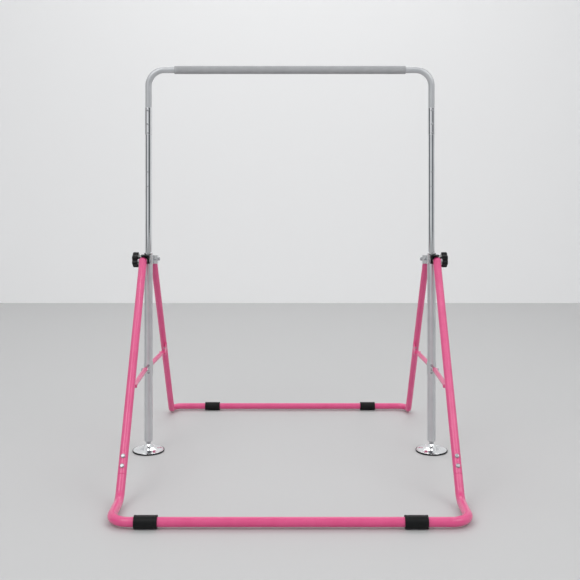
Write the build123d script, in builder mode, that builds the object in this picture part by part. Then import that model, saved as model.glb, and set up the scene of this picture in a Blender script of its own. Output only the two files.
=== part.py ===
from build123d import *
from math import atan2, cos, degrees, radians, sin, tan
import os

# Folding kip bar: a height-adjustable gymnastics bar on two telescoping uprights, held by a
# folding A-frame.  Millimetres.  +Z is up, +X to the right seen from the front, and the front
# frame reaches towards -Y.  The origin is on the floor, under the middle of the whole stand.

# ---- driving dimensions -------------------------------------------------------------------
UPRIGHT_X = 551.0          # middle of the stand to each upright's axis
BAR_Z = 1484.0             # height of the grip's axis
GRIP_R = 16.0              # grip sleeve, outside
GRIP_HALF = 450.0          # half the length of the grip
POST_R = 16.0              # lower post, outside
POST_BORE_R = 14.5
POST_BOTTOM_Z = 41.0
POST_TOP_Z = 761.0
POLE_R = 12.5              # every telescoping pole and corner tube, outside
POLE_BORE_R = 11.0
PIVOT_Z = 745.0            # height of the frame pivots and of the knob's axis

FRONT_TUBE_R = 15.0        # front legs and front base tube
REAR_TUBE_R = 13.0         # rear legs and rear cross tube
TUBE_WALL = 1.5
FRONT_SLEEVE_R = 20.5      # rubber sleeves, which carry the base tubes on the floor
REAR_SLEEVE_R = 18.0
FRONT_REACH = 751.0        # upright axis to the front cross tube's axis
REAR_REACH = 589.5         # upright axis to the rear cross tube's axis

# The uprights stand where the front and rear sleeves reach equally far from the origin.
POLE_Y = ((FRONT_REACH + FRONT_SLEEVE_R) - (REAR_REACH + REAR_SLEEVE_R)) / 2

GAP = 0.05                 # radial gap between pieces that are fixed to each other
RUN = 0.08                 # radial running clearance of a sliding or turning fit

SIDES = ((-1, "left"), (1, "right"))
DOWN = Vector(0, 0, -1)
UP = Vector(0, 0, 1)
FRONT = Vector(0, -1, 0)
BACK = Vector(0, 1, 0)


# ---- points of the linkage ----------------------------------------------------------------
def point(side, x, y, z):
    """A point given by its distance from the middle, and its Y from the upright's axis."""
    return Vector(side * x, POLE_Y + y, z)


FRONT_PIVOT = (566.8, -33.0, PIVOT_Z)      # x, y from the upright, z
FRONT_FOOT = (555.2, -577.0, FRONT_SLEEVE_R)
REAR_PIVOT = (535.8, 32.0, PIVOT_Z)
REAR_FOOT = (530.3, 528.0, REAR_SLEEVE_R)
FRONT_BEND = 60.0          # centre-line radius of the front frame's bends
REAR_BEND = 40.0

SEAM_ALONG = 822.0         # front pivot to the seam of leg and base tube, along the leg
SPLICE_BOLTS_ALONG = (764.0, 797.0)
SPLICE_SPIGOT = 75.0       # how far the base tube's spigot reaches into the leg

RUNNER_Z = 323.0           # height of the runner's pins with the stand open
RUNNER_HEIGHT = 46.0
LUG_REACH = 28.5           # upright axis to each runner pin
FRONT_LINK_ALONG = 488.4   # front pivot to the foot of the link's lug, along the leg
FRONT_LINK_OFF = 54.0      # leg axis to the link's pin, square to the leg
REAR_LINK_ALONG = 466.9
REAR_LINK_OFF = 52.0
LINK_R = 9.2
PIN_R = 4.0
FRONT_LINK_X = (559.5, 559.5)   # x of the front link at the runner and at the leg
REAR_LINK_X = (556.0, 533.5)
LUG_THICK = 3.0
PIN_HEAD = 2.5
FRONT_LUG_SIDE = 1         # the front lugs stand outside their links, the rear lugs inside
REAR_LUG_SIDE = -1
LUG_R = 9.0


def leg_frame(side, pivot, foot):
    """Start, direction and outward normal of a leg: the normal faces into the A-frame."""
    start = point(side, *pivot)
    along = (point(side, *foot) - start).normalized()
    inward = Vector(1, 0, 0).cross(along).normalized()
    if inward.Y * along.Y > 0:
        inward = inward * -1
    return start, along, inward


def link_pin(side, pivot, foot, along_leg, off_leg, x):
    """Where the spreader link's outer pin crosses the plane X = x."""
    start, along, inward = leg_frame(side, pivot, foot)
    place = start + along * along_leg + inward * off_leg
    return Vector(side * x, place.Y, place.Z)


# ---- small builders -----------------------------------------------------------------------
def rod(start, direction, radius, length, mode=Mode.ADD):
    """A round bar from start along direction, added to or cut from the open part."""
    with BuildSketch(Plane(origin=start, z_dir=direction)) as section:
        Circle(radius)
    extrude(section.sketch, amount=length, mode=mode)


def ring(start, direction, outer, inner, length, mode=Mode.ADD):
    """A round tube from start along direction."""
    with BuildSketch(Plane(origin=start, z_dir=direction)) as section:
        Circle(outer)
        Circle(inner, mode=Mode.SUBTRACT)
    extrude(section.sketch, amount=length, mode=mode)


def hexagon(start, direction, across_flats, length, bore=0.0):
    """A hexagon nut or bolt head, with its axis along direction."""
    with BuildSketch(Plane(origin=start, z_dir=direction)) as section:
        RegularPolygon(across_flats / 2, 6, major_radius=False)
        if bore > 0:
            Circle(bore, mode=Mode.SUBTRACT)
    extrude(section.sketch, amount=length)


def box_between(low, high, mode=Mode.ADD):
    """A plain block between two opposite corners."""
    low, high = Vector(*low), Vector(*high)
    size = high - low
    middle = (low + high) * 0.5
    with Locations(middle):
        Box(abs(size.X), abs(size.Y), abs(size.Z), mode=mode)


def keep(piece, name):
    """Labels a finished piece and writes its STEP file."""
    piece.part.label = name
    export_step(piece.part, f"parts/{name}.step")


# ---- uprights: posts, collars, feet ---------------------------------------------------------
KNOB_HOLE_R = 4.4
COLLAR_R = 17.3
COLLAR_TOP_Z = 773.0
COLLAR_SKIRT = 9.0
SET_SCREW_ANGLE = 31.0
SET_SCREW_Z = 768.0


def lower_post(side, word):
    """Outer tube of the upright, with a hole for the knob's screw."""
    with BuildPart() as post:
        ring(point(side, UPRIGHT_X, 0, POST_BOTTOM_Z), UP, POST_R, POST_BORE_R,
             POST_TOP_Z - POST_BOTTOM_Z)
        rod(point(side, UPRIGHT_X, 0, PIVOT_Z), Vector(side, 0, 0), KNOB_HOLE_R, 20,
            mode=Mode.SUBTRACT)
    keep(post, f"lower_post_{word}")


def set_screw_line(side, angle):
    """Start on the collar's axis and outward direction of one set screw."""
    start = point(side, UPRIGHT_X, 0, SET_SCREW_Z)
    return start, Vector(sin(radians(angle)), -cos(radians(angle)), 0)


def top_collar(side, word):
    """Chromed cap with a skirt inside the post, which guides the sliding pole."""
    axis_top = point(side, UPRIGHT_X, 0, POST_TOP_Z)
    with BuildPart() as collar:
        ring(axis_top, UP, COLLAR_R, POLE_R + RUN, COLLAR_TOP_Z - POST_TOP_Z)
        ring(axis_top - UP * COLLAR_SKIRT, UP, POST_BORE_R - GAP, POLE_R + RUN, COLLAR_SKIRT)
        chamfer(collar.edges().filter_by(GeomType.CIRCLE).group_by(Axis.Z)[-1], 1.0)
        for angle in (-SET_SCREW_ANGLE, SET_SCREW_ANGLE):
            start, out = set_screw_line(side, angle)
            rod(start, out, 2.5, COLLAR_R + 5, mode=Mode.SUBTRACT)
    keep(collar, f"top_collar_{word}")


def collar_screws():
    """Socket set screws in the collars, with a hexagon socket in each."""
    with BuildPart() as screws:
        for side, _ in SIDES:
            for angle in (-SET_SCREW_ANGLE, SET_SCREW_ANGLE):
                start, out = set_screw_line(side, angle)
                rod(start + out * (POLE_R + 0.6), out, 2.5 - GAP, COLLAR_R - POLE_R - 0.4)
                with BuildSketch(Plane(origin=start + out * (COLLAR_R + 1), z_dir=out)) as socket:
                    RegularPolygon(1.25, 6, major_radius=False)
                extrude(socket.sketch, amount=-3.0, mode=Mode.SUBTRACT)
    keep(screws, "collar_screws")


PAD_R = 61.0
PAD_THICK = 4.8
DISC_R = 59.3
STEM_R = 8.0
STEM_BOTTOM_Z = 24.0


def revolved(side, outline):
    """Turns a closed outline of (radius, z) points about the upright's axis."""
    with BuildSketch(Plane(origin=point(side, UPRIGHT_X, 0, 0), x_dir=(1, 0, 0),
                           z_dir=(0, -1, 0))) as profile:
        with BuildLine():
            Polyline(*outline, close=True)
        make_face()
    revolve(profile.sketch, axis=Axis(point(side, UPRIGHT_X, 0, 0), (0, 0, 1)))


def foot_pad(side, word):
    """Rubber pad with a low lip round the disc's rim."""
    with BuildPart() as pad:
        revolved(side, ((0, 0), (PAD_R - 1, 0), (PAD_R, 1), (PAD_R, 6.0), (DISC_R + 0.2, 6.0),
                        (DISC_R + 0.2, PAD_THICK), (0, PAD_THICK)))
    keep(pad, f"foot_pad_{word}")


def foot_disc(side, word):
    """Pressed chrome dish that rises to a cone round the stem."""
    with BuildPart() as disc:
        revolved(side, ((50.0, PAD_THICK + 0.1), (DISC_R, PAD_THICK + 0.1), (DISC_R, 6.9),
                        (33.0, 10.6), (12.5, 27.0), (10.5, 30.0), (STEM_R + GAP, 30.0),
                        (STEM_R + GAP, 27.0), (9.5, 26.5), (31.5, 8.9)))
    keep(disc, f"foot_disc_{word}")


def foot_stem(side, word):
    """Steel plug in the post's lower end, with a neck that stands in the disc."""
    with BuildPart() as stem:
        revolved(side, ((PIN_R + GAP, STEM_BOTTOM_Z), (STEM_R, STEM_BOTTOM_Z), (STEM_R, 36.0),
                        (11.0, 37.0), (11.0, 40.9), (POST_BORE_R - GAP, 41.1),
                        (POST_BORE_R - GAP, 70.0), (PIN_R + GAP, 70.0)))
    keep(stem, f"foot_stem_{word}")


def foot_bolts():
    """Bolts and washers that hold each disc to its stem, from below."""
    with BuildPart() as bolts:
        for side, _ in SIDES:
            base = point(side, UPRIGHT_X, 0, 12.0)
            hexagon(base, UP, 13.0, 5.0)
            rod(base, UP, PIN_R, 48.0)
            rod(base + UP * 5, UP, 10.0, 1.6)
            rod(base + UP * 6.6, UP, STEM_R - 0.5, STEM_BOTTOM_Z - 18.6 - 0.05)
    keep(bolts, "foot_bolts")


# ---- apex: hinge block, bracket, pivot bolts, knob --------------------------------------------
BLOCK_BOTTOM_Z = 728.0
BLOCK_TOP_Z = 760.8
CHEEK_OUT_X = 577.0
HOOD_TOP_Z = 767.5
HOOD_OUT_X = 575.0
EAR_BOTTOM_Z = 733.0
RING_SPLIT_X = (548.6, 549.0)   # the bracket's ring ends and the block's begins
EAR_X = (542.0, 550.4)


def hinge_block(side, word):
    """Moulded block clamped on the post: an outer cheek for the knob and an ear and a hood
    for the front leg's pivot."""
    with BuildPart() as block:
        ring(point(side, UPRIGHT_X, 0, BLOCK_BOTTOM_Z + 15), UP, 17.55, POST_R + GAP, 17.5)
        box_between(point(side, 500, -40, 700), point(side, RING_SPLIT_X[1], 40, 800),
                    mode=Mode.SUBTRACT)
        box_between(point(side, 560, -14.5, BLOCK_BOTTOM_Z),
                    point(side, CHEEK_OUT_X, 14.5, BLOCK_TOP_Z))
        box_between(point(side, EAR_X[0], -40, EAR_BOTTOM_Z),
                    point(side, EAR_X[1], -5, BLOCK_TOP_Z))
        box_between(point(side, EAR_X[0], -47, PIVOT_Z + 16.5),
                    point(side, HOOD_OUT_X, -18.5, HOOD_TOP_Z))
        box_between(point(side, EAR_X[0], -47, PIVOT_Z + 8),
                    point(side, EAR_X[1], -18.5, PIVOT_Z + 17))
        chamfer(block.edges().filter_by(Axis.Y).group_by(Axis.Z)[-1], 1.5)
        rod(point(side, UPRIGHT_X, 0, 700), UP, POST_R + GAP, 100, mode=Mode.SUBTRACT)
        box_between(point(side, 500, 14.6, 700), point(side, 600, 40, 800), mode=Mode.SUBTRACT)
        rod(point(side, 530, FRONT_PIVOT[1], PIVOT_Z), Vector(side, 0, 0), PIN_R + GAP, 30,
            mode=Mode.SUBTRACT)
        rod(point(side, 555, 0, PIVOT_Z), Vector(side, 0, 0), PIN_R + RUN, 30,
            mode=Mode.SUBTRACT)
    keep(block, f"hinge_block_{word}")


REAR_EARS = ((518.0, 520.5), (550.6, 553.1))
WEB_Y = (15.1, 17.6)


def rear_hinge_bracket(side, word):
    """Chromed U bracket behind the post: a web, two ears for the rear leg and a clamp ring."""
    with BuildPart() as bracket:
        ring(point(side, UPRIGHT_X, 0, BLOCK_BOTTOM_Z), UP, 17.55, POST_R + GAP,
             BLOCK_TOP_Z - BLOCK_BOTTOM_Z)
        box_between(point(side, RING_SPLIT_X[0], -40, BLOCK_BOTTOM_Z + 14.5),
                    point(side, 600, 40, 800), mode=Mode.SUBTRACT)
        box_between(point(side, REAR_EARS[0][0], WEB_Y[0], BLOCK_BOTTOM_Z),
                    point(side, REAR_EARS[1][1], WEB_Y[1], BLOCK_TOP_Z))
        for ear in REAR_EARS:
            box_between(point(side, ear[0], WEB_Y[0], BLOCK_BOTTOM_Z),
                        point(side, ear[1], REAR_PIVOT[1], BLOCK_TOP_Z))
            rod(point(side, ear[0], REAR_PIVOT[1], PIVOT_Z - 0.6), Vector(side, 0, 0), 16.4,
                ear[1] - ear[0])
        rod(point(side, UPRIGHT_X, 0, 700), UP, POST_R + GAP, 100, mode=Mode.SUBTRACT)
        box_between(point(side, 545, -40, 700), point(side, 600, 14.7, 800),
                    mode=Mode.SUBTRACT)
        box_between(point(side, EAR_X[0] - 0.3, -40, 700), point(side, 551, -4.9, 800),
                    mode=Mode.SUBTRACT)
        rod(point(side, 500, REAR_PIVOT[1], PIVOT_Z), Vector(side, 0, 0), PIN_R + GAP, 70,
            mode=Mode.SUBTRACT)
    keep(bracket, f"rear_hinge_bracket_{word}")


def pivot_bolts():
    """Front and rear pivot bolts, each with its nut."""
    with BuildPart() as bolts:
        for side, _ in SIDES:
            out = Vector(side, 0, 0)
            front = point(side, 0, FRONT_PIVOT[1], PIVOT_Z)
            rod(front + out * 536.0, out, PIN_R, 47.0)
            rod(front + out * 582.8, out, 6.5, 3.2)
            hexagon(front + out * 536.6, out, 13.0, 5.0)
            rear = point(side, 0, REAR_PIVOT[1], PIVOT_Z)
            rod(rear + out * 515.0, out, PIN_R, 44.0)
            rod(rear + out * 514.0, out, 6.5, 3.6)
            hexagon(rear + out * 553.5, out, 13.0, 5.0)
    keep(bolts, "pivot_bolts")


def pivot_washers():
    """Nylon washers on the pivots, beside each leg's eye."""
    with BuildPart() as washers:
        for side, _ in SIDES:
            out = Vector(side, 0, 0)
            front = point(side, 0, FRONT_PIVOT[1], PIVOT_Z)
            rear = point(side, 0, REAR_PIVOT[1], PIVOT_Z)
            ring(front + out * 550.6, out, 7.5, PIN_R + GAP, 0.8)
            ring(front + out * 582.0, out, 7.5, PIN_R + GAP, 0.6)
            ring(rear + out * 520.7, out, 7.5, PIN_R + GAP, 1.7)
            ring(rear + out * 549.2, out, 7.5, PIN_R + GAP, 1.2)
    keep(washers, "pivot_washers")


KNOB_HUB_X = 577.8
KNOB_HEAD_X = (588.5, 611.5)
KNOB_LOBES = 6
KNOB_R = 29.5


def star_knob(side, word):
    """Star knob: a hub, and a head whose lobes are parted by round scallops."""
    out = Vector(side, 0, 0)
    with BuildPart() as knob:
        rod(point(side, KNOB_HUB_X, 0, PIVOT_Z), out, 10.5, 12)
        rod(point(side, KNOB_HEAD_X[0], 0, PIVOT_Z), out, KNOB_R, KNOB_HEAD_X[1] - KNOB_HEAD_X[0])
        for lobe in range(KNOB_LOBES):
            turn = radians(360 / KNOB_LOBES * (lobe + 0.5) + 90)
            rod(point(side, KNOB_HEAD_X[0] - 1, 35 * cos(turn), PIVOT_Z + 35 * sin(turn)), out,
                11.0, 40, mode=Mode.SUBTRACT)
        fillet(knob.edges().filter_by(GeomType.CIRCLE).group_by(Axis.X)[-1 if side > 0 else 0],
               3.0)
        rod(point(side, KNOB_HUB_X - 1, 0, PIVOT_Z), out, PIN_R + GAP, 16, mode=Mode.SUBTRACT)
    keep(knob, f"star_knob_{word}")


def knob_screw(side, word):
    """Screw moulded into the knob; its tip stops just short of the pole."""
    with BuildPart() as screw:
        rod(point(side, UPRIGHT_X + POLE_R + 0.5, 0, PIVOT_Z), Vector(side, 0, 0), PIN_R,
            KNOB_HUB_X + 14 - UPRIGHT_X - POLE_R)
    keep(screw, f"knob_screw_{word}")


# ---- the bar and its poles ----------------------------------------------------------------
CORNER_BEND = 62.0
CORNER_IN_X = 385.0        # where the corner tube ends inside the bar tube
CORNER_BOTTOM_Z = 1288.0
COUPLER_Z = (1232.0, 1337.0)
COUPLER_R = 14.0
SEAM_Z = 1054.0
INNER_BOTTOM_Z = 645.0
BUTTON_Z = 1238.5
BUTTON_R = 3.45
COUPLER_SCREWS_Z = (1273.0, 1326.0)
SPIGOT_RIVETS_Z = (1030.0, 1087.0)


def grip():
    """Grip sleeve and the bar tube under it."""
    with BuildPart() as sleeve:
        ring(Vector(-GRIP_HALF, POLE_Y, BAR_Z), Vector(1, 0, 0), GRIP_R, 14.4 + GAP,
             2 * GRIP_HALF)
        fillet(sleeve.edges().filter_by(lambda edge: abs(edge.length - 2 * 3.14159265 * GRIP_R)
                                        < 0.1), 1.0)
    keep(sleeve, "grip_sleeve")
    with BuildPart() as tube:
        ring(Vector(1 - GRIP_HALF, POLE_Y, BAR_Z), Vector(1, 0, 0), 14.4, POLE_R + GAP,
             2 * GRIP_HALF - 2)
        for side, _ in SIDES:
            rod(point(side, 420, -20, BAR_Z), BACK, 3.05, 40, mode=Mode.SUBTRACT)
    keep(tube, "bar_tube")


def corner_tube(side, word):
    """Bent tube from the coupler up and into the bar tube."""
    with BuildPart() as corner:
        with BuildLine():
            FilletPolyline(point(side, CORNER_IN_X, 0, BAR_Z), point(side, UPRIGHT_X, 0, BAR_Z),
                           point(side, UPRIGHT_X, 0, CORNER_BOTTOM_Z), radius=CORNER_BEND)
        with BuildSketch(Plane(origin=point(side, CORNER_IN_X, 0, BAR_Z), z_dir=(side, 0, 0))):
            Circle(POLE_R)
            Circle(POLE_BORE_R, mode=Mode.SUBTRACT)
        sweep()
        rod(point(side, 420, -20, BAR_Z), BACK, 3.05, 40, mode=Mode.SUBTRACT)
        rod(point(side, UPRIGHT_X, 0, COUPLER_SCREWS_Z[1]), FRONT, 2.05, 20, mode=Mode.SUBTRACT)
    keep(corner, f"corner_tube_{word}")


def coupler(side, word):
    """Chrome sleeve that joins the corner tube to the upper pole."""
    with BuildPart() as sleeve:
        ring(point(side, UPRIGHT_X, 0, COUPLER_Z[0]), UP, COUPLER_R, POLE_R + GAP,
             COUPLER_Z[1] - COUPLER_Z[0])
        fillet(sleeve.edges().filter_by(lambda edge: abs(edge.length - 2 * 3.14159265 * COUPLER_R)
                                        < 0.1), 0.6)
        for height in COUPLER_SCREWS_Z:
            rod(point(side, UPRIGHT_X, 0, height), FRONT, 2.05, 20, mode=Mode.SUBTRACT)
        rod(point(side, UPRIGHT_X, 0, BUTTON_Z), FRONT, BUTTON_R + GAP, 20, mode=Mode.SUBTRACT)
    keep(sleeve, f"coupler_{word}")


def upper_pole(side, word):
    """Pole from the coupler down to the seam, with the button's hole."""
    with BuildPart() as pole:
        ring(point(side, UPRIGHT_X, 0, SEAM_Z + 0.15), UP, POLE_R, POLE_BORE_R,
             CORNER_BOTTOM_Z - 0.5 - SEAM_Z)
        rod(point(side, UPRIGHT_X, 0, COUPLER_SCREWS_Z[0]), FRONT, 2.05, 20, mode=Mode.SUBTRACT)
        rod(point(side, UPRIGHT_X, 0, BUTTON_Z), FRONT, BUTTON_R + GAP, 20, mode=Mode.SUBTRACT)
        rod(point(side, UPRIGHT_X, -20, SPIGOT_RIVETS_Z[1]), BACK, 3.05, 40, mode=Mode.SUBTRACT)
    keep(pole, f"upper_pole_{word}")


def inner_pole(side, word):
    """Pole below the seam, which slides in the post."""
    with BuildPart() as pole:
        ring(point(side, UPRIGHT_X, 0, INNER_BOTTOM_Z + 2), UP, POLE_R, POLE_BORE_R,
             SEAM_Z - 0.15 - INNER_BOTTOM_Z - 2)
        rod(point(side, UPRIGHT_X, -20, SPIGOT_RIVETS_Z[0]), BACK, 3.05, 40, mode=Mode.SUBTRACT)
    keep(pole, f"inner_pole_{word}")


def pole_spigots():
    """Short tubes inside the poles, across the seam."""
    with BuildPart() as spigots:
        for side, _ in SIDES:
            ring(point(side, UPRIGHT_X, 0, 1008), UP, POLE_BORE_R - GAP, 9.4, 100)
            for height in SPIGOT_RIVETS_Z:
                rod(point(side, UPRIGHT_X, -20, height), BACK, 3.05, 40, mode=Mode.SUBTRACT)
    keep(spigots, "pole_spigots")


def pole_glides():
    """Nylon glides on the lower ends of the inner poles."""
    with BuildPart() as glides:
        for side, _ in SIDES:
            base = point(side, UPRIGHT_X, 0, INNER_BOTTOM_Z)
            ring(base, UP, POST_BORE_R - 0.1, 9.0, 2 - GAP)
            ring(base, UP, POST_BORE_R - 0.1, POLE_R + GAP, 22)
            ring(base, UP, POLE_BORE_R - GAP, 9.0, 22)
    keep(glides, "pole_glides")


def pole_fasteners():
    """Coupler screws with domed heads, flush rivets in the seams and pins in the bar's ends."""
    with BuildPart() as fasteners:
        for side, _ in SIDES:
            for height in COUPLER_SCREWS_Z:
                start = point(side, UPRIGHT_X, 0, height)
                rod(start + FRONT * 10, FRONT, 2.0, 4.6)
                rod(start + FRONT * (COUPLER_R + 0.05), FRONT, 3.4, 1.3)
            for height in SPIGOT_RIVETS_Z:
                with BuildSketch(Plane(origin=point(side, UPRIGHT_X, -POLE_R + 0.3, height),
                                       z_dir=(0, 1, 0))) as rivet:
                    Circle(3.0)
                extrude(rivet.sketch, amount=2 * POLE_R - 0.6)
            rod(point(side, 420, -13.9, BAR_Z), BACK, 3.0, 27.8)
    keep(fasteners, "pole_fasteners")


def spring_button(side, word):
    """Button that locks the coupler, with a flange inside the pole."""
    axis = point(side, UPRIGHT_X, 0, BUTTON_Z)
    with BuildPart() as button:
        rod(axis + FRONT * 9.0, FRONT, BUTTON_R, 6.6)
        fillet(button.edges().filter_by(GeomType.CIRCLE).group_by(Axis.Y)[0], 1.2)
        rod(axis + FRONT * 7.6, FRONT, 4.6, 1.5)
    keep(button, f"spring_button_{word}")


def button_spring(side, word):
    """Leaf spring folded to a V inside the pole, behind the button."""
    axis = point(side, UPRIGHT_X, 0, BUTTON_Z)
    with BuildPart() as spring:
        with BuildSketch(Plane(origin=axis, x_dir=(0, 1, 0), z_dir=(1, 0, 0))) as profile:
            with BuildLine():
                Polyline((-7.55, 6), (-7.55, -6), (-2.5, -22), (2.5, -24), (8.6, 2), (8.0, 4.5),
                         (7.2, 3.8), (7.8, 2), (2.2, -22.8), (-1.9, -21.3), (-6.75, -5.8),
                         (-6.75, 6), close=True)
            make_face()
        extrude(profile.sketch, amount=3.5, both=True)
    keep(spring, f"button_spring_{word}")


# ---- front and rear frames ------------------------------------------------------------------
def leg_top(side, pivot, radius):
    """Domed end of a leg round its pivot, with flat faces for the pivot's washers."""
    start = point(side, *pivot)
    with Locations(start):
        Sphere(radius)
    rod(start - Vector(side * radius, 0, 0), Vector(side, 0, 0), 7.0, 2 * radius)


SEAM_GAP = 1.2             # open joint between the leg and the base tube's shoulder
PRESSED_GROOVES = (-5.5, 5.5)


def front_leg(side, word):
    """Upper tube of the front frame, from the pivot down to the seam, with two shallow grooves
    pressed down the front of its top end."""
    start, along, inward = leg_frame(side, FRONT_PIVOT, FRONT_FOOT)
    with BuildPart() as leg:
        leg_top(side, FRONT_PIVOT, FRONT_TUBE_R)
        rod(start, along, FRONT_TUBE_R, SEAM_ALONG - SEAM_GAP)
        rod(start + along * 30, along, FRONT_TUBE_R - TUBE_WALL, SEAM_ALONG, mode=Mode.SUBTRACT)
        rod(start - Vector(side * 30, 0, 0), Vector(side, 0, 0), PIN_R + RUN, 60,
            mode=Mode.SUBTRACT)
        for across in PRESSED_GROOVES:
            rod(start + along * 16 - inward * (FRONT_TUBE_R + 0.4) + Vector(across, 0, 0),
                along * 1, 2.2, 150, mode=Mode.SUBTRACT)
        for distance in SPLICE_BOLTS_ALONG:
            rod(start + along * distance - inward * 20, inward, 3.1, 40, mode=Mode.SUBTRACT)
    keep(leg, f"front_leg_{word}")


def front_base():
    """Base tube bent at both feet and both corners, with a spigot up into each leg."""
    ends = {}
    for side, _ in SIDES:
        start, along, inward = leg_frame(side, FRONT_PIVOT, FRONT_FOOT)
        ends[side] = start + along * SEAM_ALONG
    route = [ends[-1], point(-1, *FRONT_FOOT),
             point(-1, FRONT_FOOT[0], -FRONT_REACH, FRONT_SLEEVE_R),
             point(1, FRONT_FOOT[0], -FRONT_REACH, FRONT_SLEEVE_R),
             point(1, *FRONT_FOOT), ends[1]]
    with BuildPart() as base:
        with BuildLine():
            FilletPolyline(*route, radius=FRONT_BEND)
        with BuildSketch(Plane(origin=route[0], z_dir=route[1] - route[0])):
            Circle(FRONT_TUBE_R)
            Circle(FRONT_TUBE_R - TUBE_WALL, mode=Mode.SUBTRACT)
        sweep()
        for side, _ in SIDES:
            start, along, inward = leg_frame(side, FRONT_PIVOT, FRONT_FOOT)
            ring(ends[side], along, FRONT_TUBE_R - 0.5, 11.5, 4)
            ring(ends[side] + along * 4, along * -1, FRONT_TUBE_R - TUBE_WALL - GAP * 2, 11.5,
                 SPLICE_SPIGOT + 4)
            for distance in SPLICE_BOLTS_ALONG:
                rod(start + along * distance - inward * 20, inward, 3.1, 40,
                    mode=Mode.SUBTRACT)
            drain = point(side, *FRONT_FOOT) - along * 30
            rod(drain, inward, 2.5, 20, mode=Mode.SUBTRACT)
    keep(base, "front_base_tube")


def splice_bolts():
    """Domed bolts through the front legs' splices, with nuts on the inner side."""
    with BuildPart() as bolts:
        for side, _ in SIDES:
            start, along, inward = leg_frame(side, FRONT_PIVOT, FRONT_FOOT)
            for distance in SPLICE_BOLTS_ALONG:
                middle = start + along * distance
                rod(middle - inward * (FRONT_TUBE_R + GAP), inward * -1, 7.4, 4.4)
        outward = Axis((0, 0, 0), inward * -1)
        fillet(bolts.edges().filter_by(GeomType.CIRCLE).group_by(outward)[-1], 3.4)
        for side, _ in SIDES:
            start, along, inward = leg_frame(side, FRONT_PIVOT, FRONT_FOOT)
            for distance in SPLICE_BOLTS_ALONG:
                middle = start + along * distance
                rod(middle - inward * 16, inward, 3.0, 37)
                hexagon(middle + inward * (FRONT_TUBE_R + 0.1), inward, 10.0, 5.0)
    keep(bolts, "splice_bolts")


def sleeve(name, centre_x, reach, axis_z, outer, tube_r, length):
    """Rubber sleeve on a cross tube, which rests on the floor."""
    with BuildPart() as rubber:
        ring(Vector(centre_x - length / 2, POLE_Y + reach, axis_z), Vector(1, 0, 0), outer,
             tube_r + GAP, length)
        fillet(rubber.edges().filter_by(lambda edge: abs(edge.length - 2 * 3.14159265 * outer)
                                        < 0.1), 1.5)
    keep(rubber, name)


REAR_SPLICE_X = 352.0      # the rear legs meet the rear cross tube under the sleeves


def rear_leg(side, word):
    """Rear leg with its foot bend, corner and the stub that takes the cross tube."""
    start, along, inward = leg_frame(side, REAR_PIVOT, REAR_FOOT)
    route = [start, point(side, *REAR_FOOT),
             point(side, REAR_FOOT[0], REAR_REACH, REAR_SLEEVE_R),
             point(side, REAR_SPLICE_X, REAR_REACH, REAR_SLEEVE_R)]
    with BuildPart() as leg:
        with BuildLine():
            FilletPolyline(*route, radius=REAR_BEND)
        with BuildSketch(Plane(origin=start, z_dir=along)):
            Circle(REAR_TUBE_R)
            Circle(REAR_TUBE_R - TUBE_WALL, mode=Mode.SUBTRACT)
        sweep()
        rod(start, along, REAR_TUBE_R - 0.5, 28)
        leg_top(side, REAR_PIVOT, REAR_TUBE_R)
        rod(start - Vector(side * 30, 0, 0), Vector(side, 0, 0), PIN_R + RUN, 60,
            mode=Mode.SUBTRACT)
    keep(leg, f"rear_leg_{word}")


def rear_cross_tube():
    """Straight tube between the rear legs, with reduced ends inside their stubs."""
    out = Vector(1, 0, 0)
    start = Vector(0, POLE_Y + REAR_REACH, REAR_SLEEVE_R)
    with BuildPart() as tube:
        ring(start - out * (REAR_SPLICE_X - 0.2), out, REAR_TUBE_R, REAR_TUBE_R - TUBE_WALL,
             2 * REAR_SPLICE_X - 0.4)
        for side, _ in SIDES:
            outward = Vector(side, 0, 0)
            ring(start + outward * (REAR_SPLICE_X - 4), outward, REAR_TUBE_R - 0.5, 9.8, 3.8)
            ring(start + outward * (REAR_SPLICE_X - 4), outward,
                 REAR_TUBE_R - TUBE_WALL - GAP * 2, 9.8, 54)
    keep(tube, "rear_cross_tube")


def link_lugs(name, pivot, foot, tube_r, along_leg, off_leg, link_x, lug_side):
    """Lug plates welded to the legs, on the link's outer (1) or inner (-1) side, each with the
    head of the link's pin."""
    plate_x = link_x + lug_side * (LINK_R + 0.7) - (LUG_THICK if lug_side < 0 else 0)
    with BuildPart() as lugs:
        for side, _ in SIDES:
            start, along, inward = leg_frame(side, pivot, foot)
            middle = start + along * along_leg
            base = Vector(side * plate_x, middle.Y, middle.Z)
            with BuildSketch(Plane(origin=base, x_dir=along, z_dir=(side, 0, 0))) as plate:
                reach = off_leg * (1 if plate_normal_matches(side, along, inward) else -1)
                with Locations((0, reach)):
                    Circle(LUG_R)
                with BuildLine():
                    Polyline((-16, 0), (16, 0), (LUG_R, reach), (-LUG_R, reach), close=True)
                make_face()
            extrude(plate.sketch, amount=LUG_THICK)
            pin = base + inward * off_leg + Vector(side * LUG_THICK / 2, 0, 0)
            rod(pin, Vector(side * lug_side, 0, 0), 6.5, LUG_THICK / 2 + PIN_HEAD)
            rod(start, along, tube_r + GAP, 800, mode=Mode.SUBTRACT)
    keep(lugs, name)


def plate_normal_matches(side, along, inward):
    """Whether the plate sketch's second axis points the way the lug reaches."""
    return Vector(side, 0, 0).cross(along).dot(inward) > 0


# ---- runners and spreader links ---------------------------------------------------------------
RUNNER_R = 18.0


def runner_pin_place(side, sign, x):
    """A point on the runner's front (-1) or rear (+1) pin axis."""
    return point(side, x, sign * LUG_REACH, RUNNER_Z)


def lug_plate_x(sign, link_x):
    """Inner face of the runner's lug plate beside a link; the rear link slants, so its plate
    stands further off."""
    return link_x - LINK_R - (0.7 if sign < 0 else 1.4) - LUG_THICK


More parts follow.
